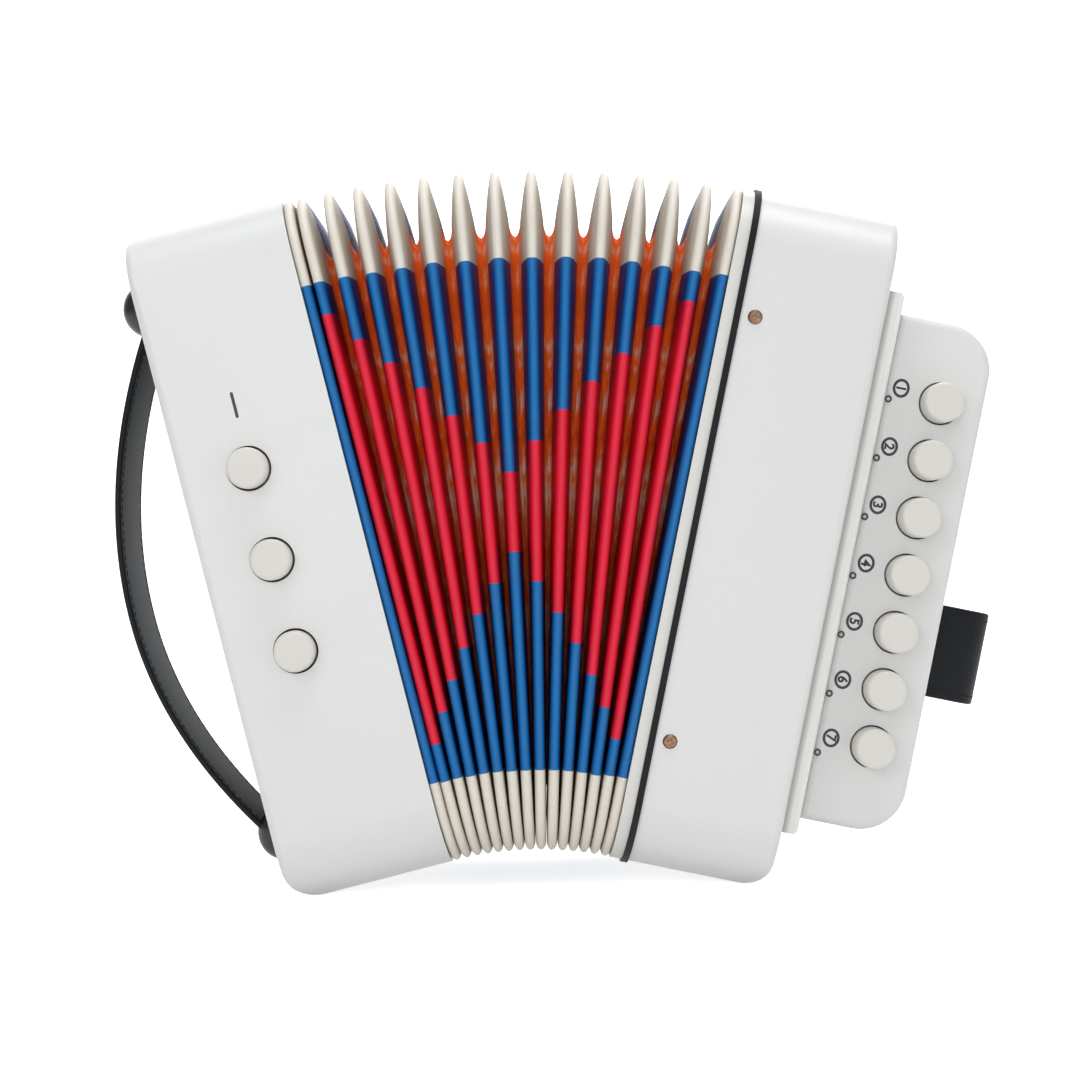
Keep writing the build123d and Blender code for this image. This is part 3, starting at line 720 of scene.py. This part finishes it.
# Insets in millimetres, and how far from the peak to the valley the wall is at each.
wall_steps = [
    (1.7, 0.0), (3, 0.07), (5.5, 0.17), (8, 0.26), (10.5, 0.35), (13, 0.44), (16, 0.53), (16.06, 0.532),
    (17.5, 0.6), (18.7, 0.69), (19.5, 0.81), (20, 1.0),
]
wall_insets = [inset * mm for inset, _ in wall_steps]
wall_shares = {inset * mm: share for inset, share in wall_steps}
outside_insets = wall_insets[::-1] + wall_insets


def wall_profile(peak, low_valley, high_valley):
    """Profile of both walls of a fold, outside and inside, between its two valleys."""
    def wall_point(station, inset, valley, sign, inward):
        v, w = ring_point(station, inset + inward)
        near = at(peak, v, w, sign * (peak_half - inward * 0.5))
        far = at(valley, v, w, -sign * valley_gap)
        point = near.lerp(far, wall_shares[inset])
        if not inward and tape_step_start < inset < tape_end:
            point += peak.out * sign * tape_step
        return point

    # The outside of both walls and then the inside, which needs only every third inset: the side, the
    # valley, the insets, the depth below the outside, and the place of the peak on the map.
    runs = [
        (-1, low_valley, wall_insets[::-1], 0.0, peak_mark),
        (1, high_valley, wall_insets, 0.0, peak_mark),
        (1, high_valley, wall_insets[::-3], wall_thickness, 3 * peak_mark),
        (-1, low_valley, wall_insets[2::3], wall_thickness, 3 * peak_mark),
    ]

    def profile(station):
        points = [
            wall_point(station, inset, valley, sign, inward)
            for sign, valley, insets, inward, _ in runs for inset in insets
        ]
        return points, [sign * inset + mark for sign, _, insets, _, mark in runs for inset in insets]

    return profile


def wall_finish(station, j):
    """Tape near the peak, and card behind it and inside."""
    taped = j + 1 < len(outside_insets) and max(outside_insets[j:j + 2]) < tape_end
    return finish_order.index(station.zone if taped else "card")


for fold, peak in enumerate(peaks, start=1):
    walls = sweep(
        "card", fold, wall_profile(peak, valleys[fold - 1], valleys[fold]), wall_finish, finishes,
    )
    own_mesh(walls)

# %% [markdown]
# ## Straps
# The hand strap is a band of black leatherette with a grey lining, sewn along both edges. A flat strap
# is made directly: a path gives its line and the direction that its outer face looks, and a thin
# profile with round edges is swept along it.

# %% Leatherette finishes
def leatherette(name, tone, rubbed, roughness):
    """Embossed leatherette: cells of grain with creases between them, rubbed pale on the high places."""
    look = Finish(name)
    place = look.place()
    cells = look.add("ShaderNodeTexVoronoi", {"feature": "DISTANCE_TO_EDGE"}, Vector=place, Scale=1400.0)
    grain = look.remap(cells.outputs["Distance"], 0.0, 0.25)
    folds = look.noise(place, 160.0, 4.0)
    shade = look.blend(look.math("MULTIPLY", grain, folds), tone, rubbed)
    creased = look.bump(0.25, 0.0006, folds, Normal=look.bump(0.35, 0.0002, grain))
    return look.done(Base_Color=shade, Normal=creased, Roughness=roughness, Specular_IOR_Level=0.22)


black_leather = leatherette("black_leather", colour(6, 9, 14), colour(16, 20, 27), 0.52)
grey_lining = leatherette("grey_lining", colour(26, 31, 36), colour(44, 51, 57), 0.6)
thread = leatherette("black_thread", colour(18, 20, 24), colour(38, 40, 45), 0.6)
print("leatherette, lining and thread")

# %% Sweep a strap
edge_share = 0.42               # radius of a strap's rounded edges, over its thickness
edge_spaces = 4
inner_share = 0.49              # only the inner face lies further in than this, over the thickness


def strap(node, body, path, across, width, thickness, closed, lining):
    """A band along a path of points and outward directions; the lining is on its inner face."""
    edge = edge_share * thickness
    profile = []
    for centre, start in (((-1, 1), pi), ((1, 1), pi / 2), ((1, -1), 0), ((-1, -1), -pi / 2)):
        for i in range(edge_spaces + 1):
            turn = start - i * pi / 2 / edge_spaces
            profile.append((
                centre[0] * (width / 2 - edge) + edge * cos(turn),
                centre[1] * (thickness / 2 - edge) + edge * sin(turn),
            ))
    mesh = bmesh.new()
    rings = [
        [mesh.verts.new(point + across * a + outward * b) for a, b in profile] for point, outward in path
    ]
    for i, face in enumerate(tube(mesh, rings, closed)):
        j = i % len(profile)
        middle_b = (profile[j][1] + profile[(j + 1) % len(profile)][1]) / 2
        face.material_index = int(middle_b < -inner_share * thickness)
    piece = piece_of(node + "_leather", mesh, [black_leather, lining], sharp=50)
    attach(piece, body)
    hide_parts(node)


# %% Hand strap
strap_v, strap_w, strap_n = spans("hand_strap", bass)
strap_width = strap_v[1] - strap_v[0]
strap_thickness = 2 * mm
strap_low, strap_high = strap_w
lowest_n, box_end = strap_n
tip = min(solids["hand_strap"].data.vertices, key=lambda vertex: (vertex.co - bass.origin).dot(bass.out))
strap_middle = (tip.co - bass.origin).dot(bass.up)
strap_bulge = box_end - lowest_n
strap_steps = 72
strap_hidden = 2.5 * mm         # from the strap's foot to the end of its leather, inside a cap
strap_path = []
for i in range(strap_steps + 1):
    w = strap_high - strap_hidden - i / strap_steps * (strap_high - strap_low - 2 * strap_hidden)
    reach = strap_high - strap_middle if w > strap_middle else strap_middle - strap_low
    rise = strap_bulge * (1 - ((w - strap_middle) / reach) ** 2)
    slope = 2 * strap_bulge * (w - strap_middle) / reach ** 2
    outward = (bass.up * slope - bass.out).normalized()
    strap_path.append((at(bass, 0, w, box_end - rise) - outward * strap_thickness / 2, outward))
strap("hand_strap", "bass_body", strap_path, back, strap_width, strap_thickness, False, grey_lining)
print("hand strap", round(strap_width / mm, 1), "mm wide, bulging", round(strap_bulge / mm, 1), "mm")

# %% Thumb strap
thumb_v, thumb_w, thumb_n = spans("thumb_strap", treble)
thumb_thickness = 2 * mm
outer_bend = 7 * mm
thumb_bend = outer_bend - thumb_thickness / 2
near_bend = 1.2 * mm            # of the loop's corners at the fingerboard
bend_spaces = 8
thumb_middle = sum(thumb_v) / 2
half_v = (thumb_v[1] - thumb_v[0] - thumb_thickness) / 2
n_near = thumb_n[0] + thumb_thickness / 2
n_far = thumb_n[1] - thumb_thickness / 2
thumb_path = []
for v_sign, n_middle, bend, start in (
    (1, n_far - thumb_bend, thumb_bend, 0), (1, n_near + near_bend, near_bend, pi / 2),
    (-1, n_near + near_bend, near_bend, pi), (-1, n_far - thumb_bend, thumb_bend, 3 * pi / 2),
):
    for i in range(bend_spaces + 1):
        turn = start + i * pi / 2 / bend_spaces
        v = v_sign * (half_v - bend) + bend * sin(turn)
        outward = treble.out * cos(turn) + back * sin(turn)
        place = at(treble, thumb_middle + v, sum(thumb_w) / 2, n_middle + bend * cos(turn))
        thumb_path.append((place, outward))
thumb_width = thumb_w[1] - thumb_w[0]
strap(
    "thumb_strap", "treble_body", thumb_path, treble.up, thumb_width, thumb_thickness, True, black_leather,
)
print("thumb strap loop of", len(thumb_path), "points")

# %% [markdown]
# ### Stitches
# A seam is one short thread repeated along a line, which is what Geometry Nodes are for. The tree takes
# a line of points, walks along it at an even step, and puts a small rounded thread at each step. The
# step and the thread's size are its inputs, so that both straps use the same tree.

# %% A tree of stitches
stitch_tree = bpy.data.node_groups.new("stitches", "GeometryNodeTree")
new_socket = stitch_tree.interface.new_socket
socket_kinds = {
    "Geometry": "Geometry", "Step": "Float", "Length": "Float", "Radius": "Float", "Thread": "Material",
}
stitch_sockets = {
    name: new_socket(name, in_out="INPUT", socket_type="NodeSocket" + kind).identifier
    for name, kind in socket_kinds.items()
}
new_socket("Geometry", in_out="OUTPUT", socket_type="NodeSocketGeometry")

stitch = Tree(stitch_tree).add
group_in = stitch("NodeGroupInput").outputs
line = stitch("GeometryNodeMeshToCurve", Mesh=group_in["Geometry"])
even = stitch(
    "GeometryNodeResampleCurve", {"mode": "LENGTH"}, Curve=line.outputs[0], Length=group_in["Step"],
)
tangent = stitch("GeometryNodeInputTangent")
turned = stitch("FunctionNodeAlignRotationToVector", {"axis": "Z"}, Vector=tangent.outputs[0])
# A thread lies half before and half behind its place.
thread_line = stitch("ShaderNodeCombineXYZ", Z=group_in["Length"]).outputs[0]
thread_back = stitch("ShaderNodeVectorMath", {"operation": "SCALE"}, Vector=thread_line, Scale=-0.5)
thread_front = stitch("ShaderNodeVectorMath", {"operation": "SCALE"}, Vector=thread_line, Scale=0.5)
segment = stitch(
    "GeometryNodeCurvePrimitiveLine", Start=thread_back.outputs[0], End=thread_front.outputs[0],
)
circle = stitch("GeometryNodeCurvePrimitiveCircle", Resolution=8, Radius=group_in["Radius"])
one_thread = stitch(
    "GeometryNodeCurveToMesh", Curve=segment.outputs[0], Profile_Curve=circle.outputs[0], Fill_Caps=True,
)
placed = stitch(
    "GeometryNodeInstanceOnPoints", Points=even.outputs[0], Instance=one_thread.outputs[0],
    Rotation=turned.outputs[0],
)
realized = stitch("GeometryNodeRealizeInstances", Geometry=placed.outputs[0])
coloured = stitch(
    "GeometryNodeSetMaterial", Geometry=realized.outputs[0], Material=group_in["Thread"],
)
stitch("NodeGroupOutput", Geometry=coloured.outputs[0])


def sew(name, lines, body, step=2.6 * mm, length=1.7 * mm, radius=0.22 * mm):
    """Stitches along lines of points, as one plain mesh that rides on a body."""
    data = bpy.data.meshes.new(name + "_lines")
    points, edges = [], []
    for row in lines:
        start = len(points)
        points += row
        edges += [(start + i, start + i + 1) for i in range(len(row) - 1)]
    data.from_pydata(points, edges, [])
    guide = new_object(name + "_lines", data)
    modifier = guide.modifiers.new("stitches", "NODES")
    modifier.node_group = stitch_tree
    for key, value in (("Step", step), ("Length", length), ("Radius", radius), ("Thread", thread)):
        modifier[stitch_sockets[key]] = value
    bpy.context.view_layer.update()
    evaluated = guide.evaluated_get(bpy.context.evaluated_depsgraph_get())
    mesh = bpy.data.meshes.new_from_object(evaluated)
    mesh.name = name
    bpy.data.objects.remove(guide)
    piece = new_object(name, mesh)
    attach(piece, body)
    return piece


# %% Sew the straps
seam_inset = 2.6 * mm


def seam(path, across, offset, depth):
    """A line of points beside the middle of a strap, just in its surface."""
    return [point + across * offset + outward * depth for point, outward in path]


strap_seams = [
    seam(strap_path[2:-2], back, sign * (strap_width / 2 - seam_inset), face * (strap_thickness / 2))
    for sign in (-1, 1) for face in (-1, 1)
]
hand_stitches = sew("hand_strap_stitches", strap_seams, "bass_body")
thumb_seams = [
    seam(thumb_path + thumb_path[:1], treble.up, sign * (thumb_width / 2 - seam_inset), thumb_thickness / 2)
    for sign in (-1, 1)
]
thumb_stitches = sew("thumb_strap_stitches", thumb_seams, "treble_body")
print(len(hand_stitches.data.polygons) + len(thumb_stitches.data.polygons), "faces of thread")

# %% [markdown]
# ### Caps of the hand strap
# Each end of the strap disappears under a black moulded cap. It is a low dome, longer across the box
# than along it, with round ends. A grid of points does it: half an oval in one direction, drawn in
# towards the ends by the same kind of oval.

# %% Strap caps
cap_v, cap_w, cap_n = spans("hand_strap_caps", bass)
cap_height = box_end - cap_n[0]
cap_half_v = (cap_v[1] - cap_v[0]) / 2
cap_half_w = 9 * mm
cap_round = 6 * mm
cap_end_scale = 0.02            # keeps a little flat end, so that no face has no size
cap_bluntness = 0.8             # 1 gives oval ends, and less makes them blunter
cap_steps_v, cap_steps_w = 28, 16


def dome(name, middle_w):
    """A dome with round ends over the box's end wall."""
    mesh = bmesh.new()
    rows = []
    for i in range(cap_steps_v + 1):
        v = -cap_half_v * cos(i / cap_steps_v * pi)
        past = max(0.0, (abs(v) - (cap_half_v - cap_round)) / cap_round)
        scale = max(sqrt(max(0.0, 1 - past ** 2)), cap_end_scale)
        row = []
        for j in range(cap_steps_w + 1):
            turn = j / cap_steps_w * pi
            w = middle_w + cap_half_w * scale ** cap_bluntness * cos(turn)
            n = box_end - cap_height * scale * sin(turn)
            row.append(mesh.verts.new(at(bass, v, w, n)))
        rows.append(row)
    for near, far in zip(rows, rows[1:]):
        for j in range(cap_steps_w):
            mesh.faces.new((near[j], near[j + 1], far[j + 1], far[j]))
    mesh.faces.new([row[0] for row in rows] + [row[-1] for row in rows[::-1]])
    mesh.faces.new(rows[0])
    mesh.faces.new(rows[-1][::-1])
    piece = piece_of(name, mesh, [black_plastic], sharp=60)
    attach(piece, "bass_body")
    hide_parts("hand_strap_caps")


dome("strap_cap_lower", cap_w[0] + cap_half_w)
dome("strap_cap_upper", cap_w[1] - cap_half_w)
print("two caps", round(cap_height / mm, 1), "mm high")

# %% [markdown]
# ## Coil springs
# Behind each bass button a coil spring presses a valve shut. The wire is swept along a helix, closer at
# both ends.

# %% Springs of the bass buttons
spring_v, spring_w, spring_n = spans("bass_springs", bass)
wire_radius = 0.4 * mm
coil_radius = (spring_n[1] - spring_n[0]) / 2 - wire_radius
spring_length = spring_v[1] - spring_v[0]
coil_turns = 6.5
coil_steps = 117
wire_sides = 8
end_crowding = 18               # a smaller number crowds more turns at the spring's ends


def coil(name, middle_w):
    """A wound spring around a plunger."""
    middle = at(bass, 0, middle_w, sum(spring_n) / 2)
    straight = spring_length - 2 * wire_radius
    mesh = bmesh.new()
    rings = []
    for i in range(coil_steps + 1):
        share = i / coil_steps
        turn = 2 * pi * coil_turns * share
        along = spring_v[0] + wire_radius + straight * (share - sin(4 * pi * share) / end_crowding)
        outward = bass.out * cos(turn) + bass.up * sin(turn)
        centre = middle + back * along + outward * coil_radius
        rings.append([
            mesh.verts.new(centre + (outward * cos(around) + back * sin(around)) * wire_radius)
            for around in [2 * pi * k / wire_sides for k in range(wire_sides)]
        ])
    tube(mesh, rings, False)
    piece = piece_of(name, mesh, [spring_steel], sharp=60)
    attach(piece, "bass_body")
    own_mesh(piece)
    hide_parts("bass_springs")


spring_outside = coil_radius + wire_radius
for name, middle_w in (
    ("air_valve", spring_w[1] - spring_outside), ("bass_1", sum(spring_w) / 2),
    ("bass_2", spring_w[0] + spring_outside),
):
    coil(f"{name}_spring", middle_w)
print("three springs", round(spring_length / mm, 1), "mm long")

# %% [markdown]
# ## Printed marks
# The fingerboard has a number in a ring beside each button and a small empty ring near it, and the bass
# side has one short dash. They are printed with thin dark ink, so each is a flat mesh that stands a few
# hundredths of a millimetre proud of the plastic. The numbers read down along the box, turned a
# quarter.

# %% Ink
look = Finish("slate_ink")
shade = look.blend(look.noise(look.place(), 2500.0, 2.0), colour(30, 30, 38), colour(54, 54, 64))
ink = look.done(Base_Color=shade, Roughness=0.45)
ink_height = 0.03 * mm
same_place = 1e-7               # points of flat work that are closer than this become one
number_weight = 0.13 * mm       # makes the numbers bolder


def on_front(side, face_v, w, n):
    """Places flat work on a front face: its x runs down along the box and its y runs out along n."""
    basis = Matrix((-side.up, side.out, -back)).transposed().to_4x4()
    return Matrix.Translation(at(side, face_v, w, n)) @ basis


def flat_piece(mesh, name, place, body):
    """Thickens flat work to the height of the ink and puts it in place on a body."""
    shell = bmesh.new()
    shell.from_mesh(mesh)
    bmesh.ops.remove_doubles(shell, verts=shell.verts, dist=same_place)
    rim = [edge for edge in shell.edges if edge.is_boundary]
    base = shell.faces[:]
    raised = {vertex: shell.verts.new(vertex.co + Vector((0, 0, ink_height))) for vertex in shell.verts[:]}
    for face in base:
        shell.faces.new([raised[vertex] for vertex in face.verts], face)
    for edge in rim:
        near, far = edge.verts
        shell.faces.new((near, far, raised[far], raised[near]), base[0])
    bmesh.ops.recalc_face_normals(shell, faces=shell.faces)
    shell.transform(place)
    shell.to_mesh(mesh)
    shell.free()
    mesh.materials.clear()
    mesh.materials.append(ink)
    piece = new_object(name, mesh)
    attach(piece, body)


def ring_mesh(name, half_x, half_y, stroke, steps=40):
    """A flat oval ring."""
    points, faces = [], []
    for i in range(steps):
        turn = 2 * pi * i / steps
        points.append((half_x * cos(turn), half_y * sin(turn), 0))
        points.append(((half_x - stroke) * cos(turn), (half_y - stroke) * sin(turn), 0))
        j = (i + 1) % steps
        faces.append((2 * i, 2 * j, 2 * j + 1, 2 * i + 1))
    mesh = bpy.data.meshes.new(name)
    mesh.from_pydata(points, [], faces)
    return mesh


def number_mesh(name, text, size):
    """A number as a flat mesh, centred on its middle."""
    curve = bpy.data.curves.new(name, "FONT")
    curve.body = text
    curve.size = size
    curve.offset = number_weight
    curve.align_x = "CENTER"
    curve.align_y = "CENTER"
    letters = new_object(name, curve)
    bpy.context.view_layer.update()
    mesh = bpy.data.meshes.new_from_object(letters.evaluated_get(bpy.context.evaluated_depsgraph_get()))
    bpy.data.objects.remove(letters)
    xs = [vertex.co.x for vertex in mesh.vertices]
    ys = [vertex.co.y for vertex in mesh.vertices]
    mesh.transform(Matrix.Translation((-(min(xs) + max(xs)) / 2, -(min(ys) + max(ys)) / 2, 0)))
    return mesh


# %% Numbers, small rings and the dash
key_count = sum(name.startswith("treble_button") for name in solids)
board_v = spans("fingerboard", treble)[0][0]
mark_n, first_mark, mark_step = 60.6 * mm, 159.9 * mm, 18.45 * mm
mark_half_x, mark_half_y, mark_stroke = 2.95 * mm, 2.65 * mm, 0.85 * mm
number_size = 4.2 * mm
dot_n, first_dot, dot_step = 57.3 * mm, 155.9 * mm, 18.65 * mm
dot_radius, dot_stroke, dot_sides = 1.15 * mm, 0.6 * mm, 24
for key in range(1, key_count + 1):
    place = on_front(treble, board_v, first_mark - (key - 1) * mark_step, mark_n)
    dot_place = on_front(treble, board_v, first_dot - (key - 1) * dot_step, dot_n)
    name = f"mark_ring_{key}"
    flat_piece(ring_mesh(name, mark_half_x, mark_half_y, mark_stroke), name, place, "treble_body")
    name = f"mark_number_{key}"
    flat_piece(number_mesh(name, str(key), number_size), name, place, "treble_body")
    name = f"mark_dot_{key}"
    dot = ring_mesh(name, dot_radius, dot_radius, dot_stroke, dot_sides)
    flat_piece(dot, name, dot_place, "treble_body")

dash_length, dash_width = 8 * mm, 0.95 * mm
dash_w, dash_n = 151.4 * mm, -28 * mm
dash_spaces = 8
dash_mesh = bpy.data.meshes.new("bass_dash")
dash_round = [
    (sign * (dash_length - dash_width) / 2 + dash_width / 2 * cos(turn), dash_width / 2 * sin(turn), 0)
    for sign, start in ((1, -pi / 2), (-1, pi / 2))
    for turn in [start + i * pi / dash_spaces for i in range(dash_spaces + 1)]
]
dash_mesh.from_pydata(dash_round, [], [tuple(range(len(dash_round)))])
flat_piece(dash_mesh, "bass_dash", on_front(bass, -half_depth, dash_w, dash_n), "bass_body")
print(3 * key_count + 1, "printed marks")
